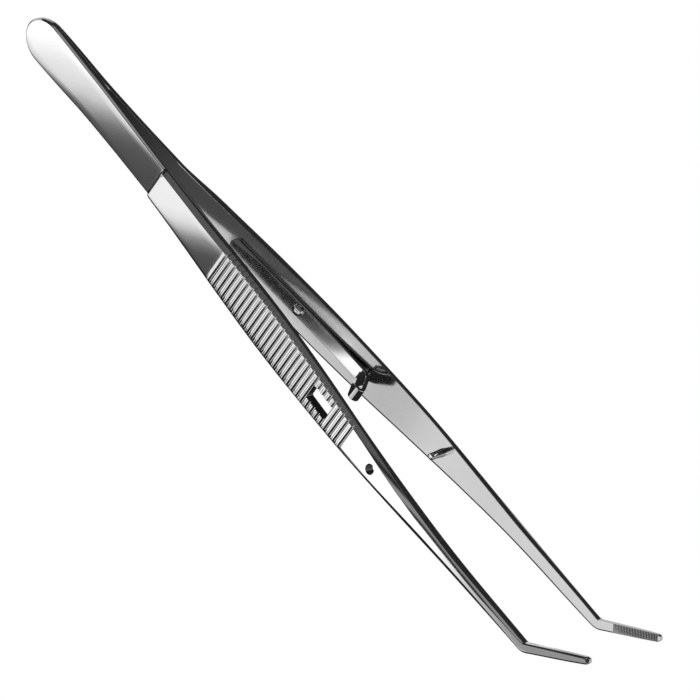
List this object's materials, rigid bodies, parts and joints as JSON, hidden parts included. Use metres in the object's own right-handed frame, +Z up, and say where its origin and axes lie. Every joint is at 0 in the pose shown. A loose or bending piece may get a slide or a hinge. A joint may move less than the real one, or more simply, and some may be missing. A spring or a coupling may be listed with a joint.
{
  "type": "dental tweezers",
  "caption": "Locking dental tweezers: two sprung arms welded at the butt, ribbed grips, angled serrated tips, a guide pin and a spring catch that hooks through a slot.",
  "frame": {"origin": "centre of the underside of the bounding box, the tweezers lying on one side as they rest", "axes": "+X along the arms from the butt to the tips, +Y from the near arm (slot, guide hole) to the far arm (catch, pin), +Z up across the width of the arms, the way the tips bend"},
  "size_m": [0.15, 0.0226, 0.0113],
  "materials": {
    "steel": "satin polished stainless steel",
    "spring_steel": "polished spring steel strip"
  },
  "bodies": {
    "fixed_side": {"far_arm": "steel", "guide_pin": "steel", "catch_rivet": "steel"},
    "near_side": {"near_arm": "steel"},
    "catch": {"catch_leaf": "spring_steel"}
  },
  "joints": [
    {"name": "arm_squeeze", "type": "hinge", "parent": "fixed_side", "child": "near_side", "pos_m": [-0.051, 0, 0.00373], "axis": [0, 0, 1], "range_deg": [0, 8.5], "stiffness_Nm_per_rad": 1.8},
    {"name": "catch_flex", "type": "hinge", "parent": "fixed_side", "child": "catch", "pos_m": [-0.0068, 0.00496, 0.00373], "axis": [0, 0, 1], "range_deg": [0, 1], "stiffness_Nm_per_rad": 0.004}
  ]
}
